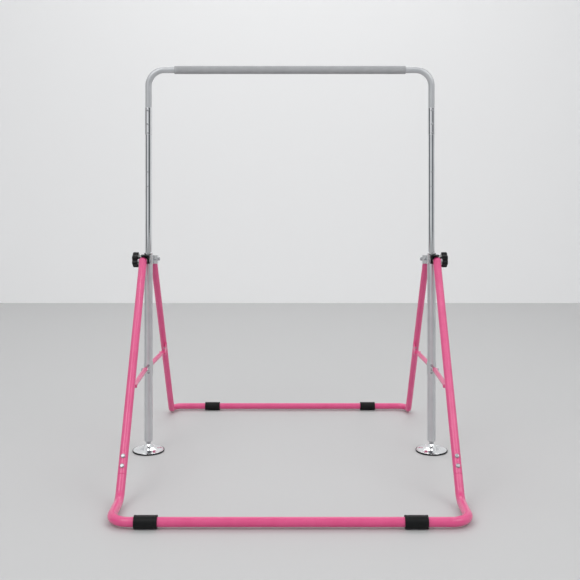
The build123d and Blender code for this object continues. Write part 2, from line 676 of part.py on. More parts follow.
def runner(side, word):
    """Chrome sleeve that slides on the post, with a lug for each half of the spreader."""
    with BuildPart() as body:
        ring(point(side, UPRIGHT_X, 0, RUNNER_Z - RUNNER_HEIGHT / 2), UP, RUNNER_R, POST_R + RUN,
             RUNNER_HEIGHT)
        for sign, link_x in ((-1, FRONT_LINK_X[0]), (1, REAR_LINK_X[0])):
            plate = lug_plate_x(sign, link_x)
            rod(runner_pin_place(side, sign, plate), Vector(side, 0, 0), LUG_R, LUG_THICK)
            box_between(point(side, plate, sign * 10, RUNNER_Z - LUG_R),
                        point(side, plate + LUG_THICK, sign * LUG_REACH, RUNNER_Z + LUG_R))
            rod(runner_pin_place(side, sign, plate - 5), Vector(side, 0, 0), PIN_R + GAP, 12,
                mode=Mode.SUBTRACT)
        rod(point(side, UPRIGHT_X, 0, 250), UP, POST_R + RUN, 150, mode=Mode.SUBTRACT)
    keep(body, f"runner_{word}")


RIVET_X = 548.0
RIVET_RISES = (-14.5, 14.3)


def runner_fasteners(side, word):
    """Link pins with heads and nuts, and the two domed rivets on the runner's front."""
    out = Vector(side, 0, 0)
    with BuildPart() as fasteners:
        for sign, link_x in ((-1, FRONT_LINK_X[0]), (1, REAR_LINK_X[0])):
            plate = lug_plate_x(sign, link_x)
            rod(runner_pin_place(side, sign, plate - 2.6), out, PIN_R, LINK_R * 2 + 12.5)
            rod(runner_pin_place(side, sign, plate - 2.6), out, 6.0, 2.5)
            hexagon(runner_pin_place(side, sign, link_x + LINK_R + 0.7), out, 12.0, 5.0)
        depth = (RUNNER_R ** 2 - (UPRIGHT_X - RIVET_X) ** 2) ** 0.5
        for rise in RIVET_RISES:
            rod(point(side, RIVET_X, -depth + 0.2, RUNNER_Z + rise), FRONT, 4.4, 2.2)
    with BuildPart() as trimmed:
        add(fasteners.part)
        rod(point(side, UPRIGHT_X, 0, RUNNER_Z - 40), UP, RUNNER_R + GAP, 80,
            mode=Mode.SUBTRACT)
    keep(trimmed, f"runner_fasteners_{word}")


def spreader(side, word, name, sign, outer_pin, link_x, lug_side):
    """One half of the spreader: a tube with domed ends, crossed by its two pins.  The outer
    pin's head is on the side away from the leg's lug."""
    inner = runner_pin_place(side, sign, link_x[0])
    direction = (outer_pin - inner).normalized()
    length = (outer_pin - inner).length
    out = Vector(side, 0, 0)
    with BuildPart() as link:
        rod(inner, direction, LINK_R, length)
        for end in (inner, outer_pin):
            with Locations(end):
                Sphere(LINK_R)
            rod(end - out * (LINK_R + GAP), out, 6.2, 2 * (LINK_R + GAP))
        rod(inner + direction * 14, direction, LINK_R - TUBE_WALL, length - 28,
            mode=Mode.SUBTRACT)
        rod(inner - out * 20, out, PIN_R + RUN, 40, mode=Mode.SUBTRACT)
        rod(outer_pin, out * -lug_side, 6.5, LINK_R + PIN_HEAD)
    keep(link, f"spreader_{name}_{word}")


# ---- making the pieces ----------------------------------------------------------------------
os.makedirs("parts", exist_ok=True)

for side, word in SIDES:
    lower_post(side, word)
    top_collar(side, word)
    foot_pad(side, word)
    foot_disc(side, word)
    foot_stem(side, word)
    hinge_block(side, word)
    rear_hinge_bracket(side, word)
    star_knob(side, word)
    knob_screw(side, word)
    corner_tube(side, word)
    coupler(side, word)
    upper_pole(side, word)
    inner_pole(side, word)
    spring_button(side, word)
    button_spring(side, word)
    front_leg(side, word)
    rear_leg(side, word)
    runner(side, word)
    runner_fasteners(side, word)
    front_pin = link_pin(side, FRONT_PIVOT, FRONT_FOOT, FRONT_LINK_ALONG, FRONT_LINK_OFF,
                         FRONT_LINK_X[1])
    rear_pin = link_pin(side, REAR_PIVOT, REAR_FOOT, REAR_LINK_ALONG, REAR_LINK_OFF,
                        REAR_LINK_X[1])
    spreader(side, word, "front", -1, front_pin, FRONT_LINK_X, FRONT_LUG_SIDE)
    spreader(side, word, "rear", 1, rear_pin, REAR_LINK_X, REAR_LUG_SIDE)

grip()
collar_screws()
foot_bolts()
pivot_bolts()
pivot_washers()
pole_spigots()
pole_glides()
pole_fasteners()
front_base()
splice_bolts()
rear_cross_tube()
link_lugs("front_link_lugs", FRONT_PIVOT, FRONT_FOOT, FRONT_TUBE_R, FRONT_LINK_ALONG,
          FRONT_LINK_OFF, FRONT_LINK_X[1], FRONT_LUG_SIDE)
link_lugs("rear_link_lugs", REAR_PIVOT, REAR_FOOT, REAR_TUBE_R, REAR_LINK_ALONG,
          REAR_LINK_OFF, REAR_LINK_X[1], REAR_LUG_SIDE)
sleeve("front_sleeve_left", -442.0, -FRONT_REACH, FRONT_SLEEVE_R, FRONT_SLEEVE_R,
       FRONT_TUBE_R, 72.0)
sleeve("front_sleeve_right", 387.0, -FRONT_REACH, FRONT_SLEEVE_R, FRONT_SLEEVE_R,
       FRONT_TUBE_R, 72.0)
sleeve("rear_sleeve_left", -REAR_SPLICE_X, REAR_REACH, REAR_SLEEVE_R, REAR_SLEEVE_R,
       REAR_TUBE_R, 66.0)
sleeve("rear_sleeve_right", REAR_SPLICE_X, REAR_REACH, REAR_SLEEVE_R, REAR_SLEEVE_R,
       REAR_TUBE_R, 66.0)
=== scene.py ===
import math

import bpy
import numpy as np
from mathutils import Matrix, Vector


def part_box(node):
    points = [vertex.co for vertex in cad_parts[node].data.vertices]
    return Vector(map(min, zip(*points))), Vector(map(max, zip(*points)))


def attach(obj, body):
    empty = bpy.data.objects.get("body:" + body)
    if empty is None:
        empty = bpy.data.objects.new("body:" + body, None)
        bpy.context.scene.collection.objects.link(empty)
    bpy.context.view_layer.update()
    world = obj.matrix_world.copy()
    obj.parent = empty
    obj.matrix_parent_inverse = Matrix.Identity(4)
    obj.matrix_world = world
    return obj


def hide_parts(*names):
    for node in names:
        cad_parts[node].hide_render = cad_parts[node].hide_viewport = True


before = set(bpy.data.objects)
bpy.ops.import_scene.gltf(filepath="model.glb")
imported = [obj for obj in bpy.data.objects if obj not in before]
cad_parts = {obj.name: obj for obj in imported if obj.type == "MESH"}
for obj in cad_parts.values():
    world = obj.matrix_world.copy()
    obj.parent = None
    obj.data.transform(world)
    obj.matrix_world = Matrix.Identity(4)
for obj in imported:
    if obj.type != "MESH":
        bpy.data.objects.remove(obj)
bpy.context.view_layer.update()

SIDES = ((-1, "left"), (1, "right"))
GRIP_LOW, GRIP_HIGH = (np.array(corner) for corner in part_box("grip_sleeve"))
POLE_Y = (GRIP_LOW[1] + GRIP_HIGH[1]) / 2      # the plane of the two uprights
BAR_Z = (GRIP_LOW[2] + GRIP_HIGH[2]) / 2
GRIP_HALF = (GRIP_HIGH[0] - GRIP_LOW[0]) / 2
POST_LOW, POST_HIGH = (np.array(corner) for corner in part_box("lower_post_right"))
UPRIGHT_X = (POST_LOW[0] + POST_HIGH[0]) / 2
RIGHT = np.array((1.0, 0.0, 0.0))
FRONT = np.array((0.0, -1.0, 0.0))
UP = np.array((0.0, 0.0, 1.0))
MM = 0.001
PIVOT_MM = 745.0           # height of the two frames' pivots and of the knobs

# ---- colours and materials ------------------------------------------------------------------


def linear(code):
    """sRGB hex to the linear RGBA that sockets take."""
    channels = [int(code[i:i + 2], 16) / 255 for i in (1, 3, 5)]
    return [c / 12.92 if c <= 0.04045 else ((c + 0.055) / 1.055) ** 2.4 for c in channels] + [1.0]


def add(tree, kind, settings=None, inputs=None):
    """Adds a node, sets its properties and fills its inputs with values or other sockets."""
    node = tree.nodes.new(kind)
    for key, value in (settings or {}).items():
        setattr(node, key, value)
    for key, value in (inputs or {}).items():
        if isinstance(value, bpy.types.NodeSocket):
            tree.links.new(value, node.inputs[key])
        else:
            node.inputs[key].default_value = value
    return node


def set_stops(node, stops):
    """Gives a colour ramp its stops of (position, hex colour)."""
    elements = node.color_ramp.elements
    while len(elements) < len(stops):
        elements.new(0.5)
    for element, (place, code) in zip(elements, stops):
        element.position = place
        element.color = linear(code)


def finish_material(name, stops, rough, grain_mm, bump_mm, stretch=(1, 1, 1), mottle_mm=60,
                    sockets=None):
    """A surface whose colour drifts between stops over mottle_mm, whose roughness drifts
    between rough's two values, and whose grain of grain_mm stands bump_mm high."""
    material = bpy.data.materials.new(name)
    material.use_nodes = True
    tree = material.node_tree
    shader = tree.nodes["Principled BSDF"]
    for key, value in (sockets or {}).items():
        shader.inputs[key].default_value = value
    place = add(tree, "ShaderNodeTexCoord").outputs["Object"]
    mottle = add(tree, "ShaderNodeTexNoise", inputs={
        "Vector": place, "Scale": 1000 / mottle_mm, "Detail": 3.0, "Roughness": 0.55})
    colour = add(tree, "ShaderNodeValToRGB", inputs={"Fac": mottle.outputs["Fac"]})
    set_stops(colour, stops)
    tree.links.new(colour.outputs["Color"], shader.inputs["Base Color"])
    stretched = add(tree, "ShaderNodeMapping", inputs={"Vector": place, "Scale": stretch})
    grain = add(tree, "ShaderNodeTexNoise", inputs={
        "Vector": stretched.outputs["Vector"], "Scale": 1000 / grain_mm, "Detail": 4.0,
        "Roughness": 0.6})
    spread = add(tree, "ShaderNodeMapRange", inputs={
        "Value": grain.outputs["Fac"], "From Min": 0.3, "From Max": 0.7, "To Min": rough[0],
        "To Max": rough[1]})
    tree.links.new(spread.outputs["Result"], shader.inputs["Roughness"])
    bump = add(tree, "ShaderNodeBump", inputs={
        "Height": grain.outputs["Fac"], "Distance": bump_mm * MM, "Strength": 1.0})
    tree.links.new(bump.outputs["Normal"], shader.inputs["Normal"])
    return material


# Powder coat, baked: an even, wet-looking pink with the faint orange peel of melted powder.
pink_powder_coat = finish_material(
    "pink_powder_coat", ((0.35, "#DF4985"), (0.65, "#E4528C")), (0.26, 0.36), 2.2, 0.05,
    sockets={"Coat Weight": 0.5, "Coat Roughness": 0.06, "IOR": 1.5})
# Chrome plate on drawn tube: mirror bright, with polishing lines along the tube.
chrome_plated_pole = finish_material(
    "chrome_plated_pole", ((0.3, "#DBDDDF"), (0.7, "#E5E7E9")), (0.03, 0.09), 1.4, 0.004,
    stretch=(1, 1, 0.02), sockets={"Metallic": 1.0})
# Chrome plate on pressings and turned rings: mirror bright, with soft haze.
chrome_plated_pressing = finish_material(
    "chrome_plated_pressing", ((0.3, "#E6E7E9"), (0.7, "#EFF0F1")), (0.05, 0.12), 5.0, 0.01,
    sockets={"Metallic": 1.0})
# Satin zinc plate on the posts: a soft cool grey with draw lines along the tube.
satin_zinc_post = finish_material(
    "satin_zinc_post", ((0.3, "#D0D1D4"), (0.7, "#D9DADC")), (0.30, 0.42), 1.2, 0.01,
    stretch=(1, 1, 0.015), sockets={"Metallic": 1.0})
# Silver-grey powder coat on the bent corner tubes: satin, with fine flake in it.
silver_powder_coat = finish_material(
    "silver_powder_coat", ((0.35, "#B9BBBE"), (0.65, "#C2C4C6")), (0.30, 0.40), 1.0, 0.015,
    sockets={"Metallic": 0.3, "Coat Weight": 0.8, "Coat Roughness": 0.08})
# Closed-cell foam sleeve: dull mid grey, with a fine skin of cells.
foam_grip_skin = finish_material(
    "foam_grip_skin", ((0.3, "#A0A1A3"), (0.7, "#A9AAAC")), (0.72, 0.88), 0.9, 0.16,
    mottle_mm=25, sockets={"Sheen Weight": 0.25, "Sheen Roughness": 0.5, "IOR": 1.4})
# Moulded ABS: near black, with the fine spark-eroded grain of the mould.
moulded_black_abs = finish_material(
    "moulded_black_abs", ((0.3, "#070809"), (0.7, "#0C0D0F")), (0.20, 0.30), 0.7, 0.03,
    sockets={"IOR": 1.53, "Specular IOR Level": 0.2})
# Moulded rubber: near black, a soft sheen and a little bloom.
moulded_black_rubber = finish_material(
    "moulded_black_rubber", ((0.3, "#090A0B"), (0.7, "#0F1112")), (0.38, 0.52), 1.1, 0.06,
    mottle_mm=18, sockets={"IOR": 1.5, "Specular IOR Level": 0.22})
# Bright zinc on bolts, nuts and rivets: a clear mid grey with fine marks from turning.
zinc_plated_fastener = finish_material(
    "zinc_plated_fastener", ((0.3, "#A8AAAD"), (0.7, "#B5B7BA")), (0.22, 0.34), 0.8, 0.01,
    mottle_mm=8, sockets={"Metallic": 1.0})
# Black oxide on the set screws.
black_oxide_screw = finish_material(
    "black_oxide_screw", ((0.3, "#202124"), (0.7, "#2D2E31")), (0.35, 0.5), 0.6, 0.01,
    mottle_mm=6, sockets={"Metallic": 0.8})
# Natural nylon: milky white and waxy.
natural_nylon = finish_material(
    "natural_nylon", ((0.3, "#DEDCD5"), (0.7, "#E8E6DF")), (0.38, 0.5), 1.5, 0.02,
    mottle_mm=12, sockets={"IOR": 1.53})

NODE_FINISHES = (
    (pink_powder_coat, ("front_leg", "front_base", "rear_leg", "rear_cross", "front_link",
                        "rear_link", "spreader")),
    (chrome_plated_pole, ("upper_pole", "inner_pole")),
    (chrome_plated_pressing, ("top_collar", "rear_hinge", "foot_disc", "coupler")),
    (satin_zinc_post, ("lower_post", "runner_left", "runner_right")),
    (silver_powder_coat, ("corner_tube",)),
    (foam_grip_skin, ("grip_sleeve",)),
    (moulded_black_abs, ("hinge_block", "star_knob")),
    (moulded_black_rubber, ("front_sleeve", "rear_sleeve", "foot_pad")),
    (black_oxide_screw, ("collar_screws",)),
    (natural_nylon, ("pole_glides", "pivot_washers")),
)


def finish_of(node):
    """The material for a CAD node, by the start of its name."""
    for material, starts in NODE_FINISHES:
        if node.startswith(starts):
            return material
    return zinc_plated_fastener


for node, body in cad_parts.items():
    body.data.materials.clear()
    body.data.materials.append(finish_of(node))

# ---- shapes ---------------------------------------------------------------------------------


def surface(name, points, material, body, wrap_rows=False):
    """A piece from a grid of points, rows by steps.  Steps always close on themselves.  Rows
    close on themselves too when wrap_rows is set; otherwise the first and last rows are poles,
    each one point."""
    rows, steps, _ = points.shape
    if wrap_rows:
        vertices = points.reshape(-1, 3)
        ring = np.arange(rows * steps).reshape(rows, steps)
        low, high = ring, np.roll(ring, -1, axis=0)
        fans = []
    else:
        vertices = np.vstack((points[0, :1], points[1:-1].reshape(-1, 3), points[-1, :1]))
        ring = 1 + np.arange((rows - 2) * steps).reshape(rows - 2, steps)
        low, high = ring[:-1], ring[1:]
        first, last = ring[0], ring[-1]
        start = np.zeros(steps, dtype=int)
        end = np.full(steps, len(vertices) - 1)
        fans = np.vstack((np.stack((start, first, np.roll(first, -1)), axis=1),
                          np.stack((end, np.roll(last, -1), last), axis=1))).tolist()
    quads = np.stack((low, high, np.roll(high, -1, axis=1), np.roll(low, -1, axis=1)), axis=-1)
    mesh = bpy.data.meshes.new(name)
    mesh.from_pydata(vertices.tolist(), [], quads.reshape(-1, 4).tolist() + fans)
    mesh.polygons.foreach_set("use_smooth", np.ones(len(mesh.polygons), dtype=bool))
    mesh.update()
    piece = bpy.data.objects.new(name, mesh)
    bpy.context.scene.collection.objects.link(piece)
    mesh.materials.append(material)
    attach(piece, body)
    return piece


def basis(axis):
    """Two unit vectors square to axis and to each other, with axis as their cross product."""
    axis = np.asarray(axis, dtype=float) / np.linalg.norm(axis)
    helper = UP if abs(axis[2]) < 0.9 else RIGHT
    across = np.cross(helper, axis)
    across /= np.linalg.norm(across)
    return across, np.cross(axis, across), axis


def rounded(outline, radius, steps=5, closed=True):
    """Each corner of the outline gives way to a quadratic curve that starts and ends radius
    from it, or a third of the way along a short edge."""
    outline = np.asarray(outline, dtype=float)
    before, after = np.roll(outline, 1, axis=0), np.roll(outline, -1, axis=0)

    def towards(other):
        gap = other - outline
        length = np.linalg.norm(gap, axis=1, keepdims=True)
        return outline + gap / length * np.minimum(radius, length / 3)

    t = np.linspace(0, 1, steps)[None, :, None]
    a, b = towards(before)[:, None], towards(after)[:, None]
    curve = a * (1 - t) ** 2 + outline[:, None] * 2 * t * (1 - t) + b * t ** 2
    if closed:
        return curve.reshape(-1, 2)
    return np.vstack((outline[:1], curve[1:-1].reshape(-1, 2), outline[-1:]))


def turned(origin, axis, outline, steps=72, shape=None):
    """Grid of points of an outline of (radius, height) turned about axis.  shape may change
    the radius and height by the angle."""
    across, along, axis = basis(axis)
    angle = np.linspace(0, 2 * math.pi, steps, endpoint=False)[None, :]
    radius = np.repeat(outline[:, :1], steps, axis=1)
    height = np.repeat(outline[:, 1:], steps, axis=1)
    if shape is not None:
        radius, height = shape(radius, height, angle)
    return (np.asarray(origin) + radius[..., None] * np.cos(angle)[..., None] * across
            + radius[..., None] * np.sin(angle)[..., None] * along + height[..., None] * axis)


def at(side, x_mm, y_mm, z_mm):
    """A point x_mm from the middle on one side, y_mm behind the uprights, z_mm up."""
    return np.array((side * x_mm * MM, POLE_Y + y_mm * MM, z_mm * MM))


# ---- the foam grip --------------------------------------------------------------------------
GRIP_R = (GRIP_HIGH[2] - GRIP_LOW[2]) / 2
GRIP_BORE_R = 14.45 * MM
GRIP_ROWS = 181
ROLL_LENGTH, LIP_DEPTH = 3.0 * MM, 1.5 * MM    # the rolled-over ends, along and into the foam
BORE_INSET = 0.3 * MM
WAVE_DEPTH = 0.06 * MM


def foam_sleeve():
    """A tube whose ends roll over as quarter ellipses.  Its skin dips by up to 0.24 mm, by the
    sum of two sines of the place along the bar and the angle round it."""
    straight = GRIP_HALF - ROLL_LENGTH
    roll = np.linspace(0, math.pi / 2, 7)[1:]
    shoulder = GRIP_R - LIP_DEPTH
    start = np.stack((shoulder + LIP_DEPTH * np.sin(roll), -straight - ROLL_LENGTH * np.cos(roll)),
                     axis=1)
    skin = np.stack((np.full(GRIP_ROWS, GRIP_R), np.linspace(-straight, straight, GRIP_ROWS)),
                    axis=1)
    end = np.stack((shoulder + LIP_DEPTH * np.cos(roll), straight + ROLL_LENGTH * np.sin(roll)),
                   axis=1)
    bore = np.array(((GRIP_BORE_R, GRIP_HALF - BORE_INSET),
                     (GRIP_BORE_R, -GRIP_HALF + BORE_INSET)))
    outline = np.concatenate((start, skin, end, bore))[::-1]

    def waves(radius, height, angle):
        on_skin = radius > GRIP_BORE_R + 0.01 * MM
        dip = WAVE_DEPTH * (np.sin(height * 41 + 2 * angle) + np.sin(height * 97 - angle) - 2)
        return radius + np.where(on_skin, dip, 0), height

    origin = np.array((0.0, POLE_Y, BAR_Z))
    return surface("foam_grip_sleeve", turned(origin, RIGHT, outline, 96, waves),
                   foam_grip_skin, "bar", wrap_rows=True)


grip = foam_sleeve()
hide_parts("grip_sleeve")

# ---- rubber floor sleeves ---------------------------------------------------------------------
SLEEVE_BORES = {"front": 15.05 * MM, "rear": 13.05 * MM}


def floor_sleeve(end, word):
    """A moulded rubber sleeve: a barrel with a low bead at each end, soft shoulders and two
    shallow grooves, turned about its tube."""
    name = f"{end}_sleeve_{word}"
    low, high = (np.array(corner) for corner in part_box(name))
    radius = (high[2] - low[2]) / 2
    half = (high[0] - low[0]) / 2
    bore = SLEEVE_BORES[end]
    waist = radius - 0.35 * MM
    groove = radius - 1.0 * MM
    shelf = half - 4 * MM
    inset = half - 9 * MM
    outline = [(bore, -half), (radius, -half), (radius, -shelf), (waist, -shelf + 1 * MM),
               (waist, -inset), (groove, -inset + 0.8 * MM), (waist, -inset + 1.6 * MM),
               (waist, inset - 1.6 * MM), (groove, inset - 0.8 * MM), (waist, inset),
               (waist, shelf - 1 * MM), (radius, shelf), (radius, half), (bore, half)]
    outline = rounded(np.array(outline), 1.3 * MM, 6)
    piece = surface("rubber_" + name, turned((low + high) / 2, RIGHT, outline, 72),
                    moulded_black_rubber, f"{end}_frame", wrap_rows=True)
    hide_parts(name)


for side, word in SIDES:
    floor_sleeve("front", word)
    floor_sleeve("rear", word)

# ---- feet -----------------------------------------------------------------------------------
# Outlines of the feet are of (radius, height) in mm.
DISC_OUTLINE = ((50.0, 4.9), (59.2, 4.9), (59.3, 5.7), (58.2, 7.2), (54.5, 7.4), (52.5, 6.6),
                (48.0, 7.6), (33.0, 10.9), (22.0, 17.5), (13.0, 27.2), (11.2, 30.2),
                (8.2, 30.2), (8.2, 27.2), (10.0, 26.6), (20.5, 15.8), (32.0, 9.2))
PAD_OUTLINE = ((0.0, 0.0), (9.0, 0.0), (9.5, 0.9), (21.0, 0.9), (21.5, 0.0), (33.0, 0.0),
               (33.5, 0.9), (45.0, 0.9), (45.5, 0.0), (60.0, 0.0), (61.0, 1.0), (61.0, 5.6),
               (60.5, 6.5), (59.5, 6.4), (59.45, 4.8), (0.0, 4.8))
RIBS = 6
RIB_R, RIB_REACH, RIB_RISE = 30.0 * MM, 13.0 * MM, 2.0 * MM


def pressed_ribs(radius, height, angle):
    """Ribs pressed into the cone lift it halfway up, as a power of a cosine round it, and fade
    at both ends as a squared parabola."""
    middle = np.clip(1 - ((radius - RIB_R) / RIB_REACH) ** 2, 0, 1) ** 2
    rib = np.clip(np.cos(RIBS * angle), 0, 1) ** 6
    return radius, height + RIB_RISE * middle * rib


for side, word in SIDES:
    base = at(side, UPRIGHT_X / MM, 0, 0)
    outline = rounded(np.array(DISC_OUTLINE) * MM, 1.0 * MM, 5)
    disc = surface(f"pressed_foot_disc_{word}", turned(base, UP, outline, 120, pressed_ribs),
                   chrome_plated_pressing, "posts", wrap_rows=True)
    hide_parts(f"foot_disc_{word}")
    outline = rounded(np.array(PAD_OUTLINE) * MM, 0.5 * MM, 4, closed=False)
    pad = surface(f"ribbed_foot_pad_{word}", turned(base, UP, outline, 96),
                  moulded_black_rubber, "posts")
    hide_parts(f"foot_pad_{word}")

# ---- star knobs -----------------------------------------------------------------------------
LOBES = 6
HUB_R = 12.5 * MM
# Outlines of the knobs are of (radius, distance from the middle of the stand) in mm.
KNOB_OUTLINE = ((4.1, 577.8), (10.5, 577.8), (10.5, 586.5), (13.0, 588.6), (28.0, 588.6),
                (29.5, 591.0), (29.5, 608.0), (27.0, 611.2), (17.0, 611.5), (14.0, 609.0),
                (5.0, 609.0), (4.1, 608.8))
CAP_OUTLINE = ((0.0, 608.0), (13.3, 608.0), (13.3, 609.6), (11.5, 610.6), (0.0, 610.9))


def scallops(radius, height, angle):
    """Beyond the hub the radius dips between the lobes, as a power of a raised cosine."""
    dip = (0.5 - 0.5 * np.cos(LOBES * (angle - math.pi / 2))) ** 1.6
    return np.where(radius > HUB_R, HUB_R + (radius - HUB_R) * (1 - 0.4 * dip), radius), height


for side, word in SIDES:
    outline = rounded(np.array(KNOB_OUTLINE) * MM, 1.6 * MM, 6)
    origin = np.array((0.0, POLE_Y, PIVOT_MM * MM))
    knob = surface(f"lobed_knob_{word}", turned(origin, side * RIGHT, outline, 160, scallops),
                   moulded_black_abs, f"knob_{word}", wrap_rows=True)
    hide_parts(f"star_knob_{word}")
    outline = rounded(np.array(CAP_OUTLINE) * MM, 0.8 * MM, 5, closed=False)
    surface(f"knob_cap_{word}", turned(origin, side * RIGHT, outline, 64),
            moulded_black_abs, f"knob_{word}")

# ---- domed heads ----------------------------------------------------------------------------
# Seats of the heads are x from the middle, y behind the uprights and z up, in mm, and their
# sizes are radius and rise.
COUPLER_FACE, COUPLER_SCREW_HEIGHTS = -14.0, (1273.0, 1326.0)
COUPLER_SCREW, CROSS_DEPTH = (4.6, 2.7), 0.9
RUNNER_RIVET_X, RUNNER_FACE, RUNNER_RIVET_HEIGHTS = 548.0, -17.8, (308.5, 337.3)
RUNNER_RIVET = (5.0, 3.2)
BRACKET_SEAT, BRACKET_RIVET = (528.0, 15.1, PIVOT_MM), (4.8, 2.6)
FRONT_PIVOT_SEAT, REAR_PIVOT_SEAT = (585.9, -33.0, PIVOT_MM), (514.1, 32.0, PIVOT_MM)
PIVOT_HEAD = (6.8, 3.2)
STUD_HEAD = (4.6, 3.0)


def domed_head(name, seat, outward, size, body, cross_depth=0.0):
    """A domed head: height falls as the square root of one minus the squared radius share,
    down to a flat underside, and a cross of two soft-edged bars is pressed into it."""
    radius_mm, rise_mm = size
    dome = np.linspace(0, 1, 22)
    share = np.concatenate((dome, (0.985, 0.6, 0.0)))
    crown = np.concatenate((np.sqrt(1 - dome ** 2), np.full(3, -0.12)))
    outline = np.stack((share * radius_mm, crown * rise_mm), axis=1) * MM

    def cross(radius, height, angle):
        a, b = np.abs(radius * np.cos(angle)), np.abs(radius * np.sin(angle))
        wide, long, soft = 0.13 * radius_mm * MM, 0.5 * radius_mm * MM, 0.1 * radius_mm * MM

        def bar(p, q):
            return np.clip((wide - p) / soft + 1, 0, 1) * np.clip((long - q) / soft + 1, 0, 1)

        sunk = np.maximum(bar(a, b), bar(b, a)) * cross_depth * MM
        return radius, height - np.where(height > 0, sunk, 0)

    surface(name, turned(seat, outward, outline, 48, cross if cross_depth else None)[::-1],
            zinc_plated_fastener, body)


for side, word in SIDES:
    for number, height in enumerate(COUPLER_SCREW_HEIGHTS):
        domed_head(f"coupler_screw_{word}_{number}",
                   at(side, UPRIGHT_X / MM, COUPLER_FACE, height), FRONT, COUPLER_SCREW, "bar",
                   CROSS_DEPTH)
    for number, height in enumerate(RUNNER_RIVET_HEIGHTS):
        domed_head(f"runner_rivet_{word}_{number}",
                   at(side, RUNNER_RIVET_X, RUNNER_FACE, height), FRONT, RUNNER_RIVET,
                   f"runner_{word}")
    domed_head(f"bracket_rivet_{word}", at(side, *BRACKET_SEAT), FRONT, BRACKET_RIVET, "posts")
    domed_head(f"front_pivot_head_{word}", at(side, *FRONT_PIVOT_SEAT), side * RIGHT,
               PIVOT_HEAD, "posts")
    domed_head(f"rear_pivot_head_{word}", at(side, *REAR_PIVOT_SEAT), -side * RIGHT,
               PIVOT_HEAD, "posts")

# ---- weld beads and leg studs -----------------------------------------------------------------
# Each leg in mm: its pivot and foot, as x from the middle, y behind the uprights and z up, the
# radius of its tube, how far down the leg the lug plate is, and the x of the plate's two faces.
LEGS = {"front": ((566.8, -33.0, PIVOT_MM), (555.2, -577.0, 20.5), 15.0, 488.4, (569.4, 572.4)),
        "rear": ((535.8, 32.0, PIVOT_MM), (530.3, 528.0, 18.0), 13.0, 466.9, (520.6, 523.6))}
WELD_HALF, WELD_R = 15.0 * MM, 1.7 * MM
BEAD_PITCH, BEAD_TAPER, BEAD_ROWS = 1.1 * MM, 1.6 * MM, 90
STUD_DOWN_LEG, STUD_OFF_AXIS, STUD_X = 478.0 * MM, 12.2 * MM, 529.0 * MM


def leg_frame(side, end):
    """Start and direction of a leg, and the normal that faces into the A-frame."""
    pivot, foot = LEGS[end][:2]
    start = at(side, *pivot)
    along = at(side, *foot) - start
    along /= np.linalg.norm(along)
    inward = np.cross(RIGHT, along)
    inward /= np.linalg.norm(inward)
    return start, along, inward if inward[1] * along[1] < 0 else -inward


def weld_bead(name, start, end, body):
    """A bead along a line: its radius ripples as the weld was laid, and falls to nothing at
    both ends."""
    gap = end - start
    length = np.linalg.norm(gap)
    place = np.linspace(0, 1, BEAD_ROWS)
    taper = np.clip(np.minimum(place, 1 - place) * length / BEAD_TAPER, 0, 1) ** 0.5
    ripple = 1 + 0.09 * np.abs(np.sin(place * length / BEAD_PITCH * math.pi / 2))
    outline = np.stack((WELD_R * taper * ripple, place * length), axis=1)
    surface(name, turned(start, gap, outline, 20)[::-1], pink_powder_coat, body)


def lug_welds(side, word, end):
    """Beads where a lug plate's two faces meet the leg's tube."""
    start, along, inward = leg_frame(side, end)
    tube_r, lug_down, faces = LEGS[end][2:]
    middle = start + along * lug_down * MM
    for number, face in enumerate(faces):
        offset = abs(middle[0]) / MM - face
        reach = math.sqrt(max(tube_r ** 2 - offset ** 2, 0.5))
        seat = middle + inward * reach * MM
        seat[0] = side * face * MM
        weld_bead(f"{end}_lug_weld_{word}_{number}", seat - along * WELD_HALF,
                  seat + along * WELD_HALF, f"{end}_frame")


for side, word in SIDES:
    lug_welds(side, word, "front")
    lug_welds(side, word, "rear")
    start, along, inward = leg_frame(side, "rear")
    seat = start + along * STUD_DOWN_LEG + inward * STUD_OFF_AXIS
    seat[0] = side * STUD_X
    domed_head(f"rear_leg_stud_{word}", seat, inward, STUD_HEAD, "rear_frame")

# ---- floor, wall, light and camera ------------------------------------------------------------
CAMERA_BACK = 3.5055       # camera to the plane of the uprights
CAMERA_HEIGHT = 1.110
WALL_Y, WALL_TOP, STAGE_HALF = 3.87, 8, 9
SENSOR_MM = 36.0
LENS_MM = 55.86
VERTICAL_SHIFT = -0.2138   # share of the frame, with the camera held level
AIR_STRENGTH = 0.88
# The colour sockets of a Mix node have to be numbered, as its other types share their names.
MIX_A, MIX_B, MIX_RESULT = 6, 7, 2


def plain_sheet(name, corners, code, roughness):
    """A flat stage piece of one dull colour, whose roughness varies faintly."""
    mesh = bpy.data.meshes.new(name)
    mesh.from_pydata(corners, [], [(0, 1, 2, 3)])
    sheet = bpy.data.objects.new(name, mesh)
    bpy.context.scene.collection.objects.link(sheet)
    mesh.materials.append(finish_material(name + "_paint", ((0.3, code), (0.7, code)),
                                          (roughness, roughness + 0.05), 20, 0.0, mottle_mm=900))
    return sheet


plain_sheet("studio_floor",
            ((-STAGE_HALF, -STAGE_HALF, 0), (STAGE_HALF, -STAGE_HALF, 0),
             (STAGE_HALF, WALL_Y, 0), (-STAGE_HALF, WALL_Y, 0)), "#C6C6C6", 0.6)
wall = plain_sheet("studio_wall",
                   ((-STAGE_HALF, WALL_Y, 0), (STAGE_HALF, WALL_Y, 0),
                    (STAGE_HALF, WALL_Y, WALL_TOP), (-STAGE_HALF, WALL_Y, WALL_TOP)),
                   "#FBFBFB", 0.9)
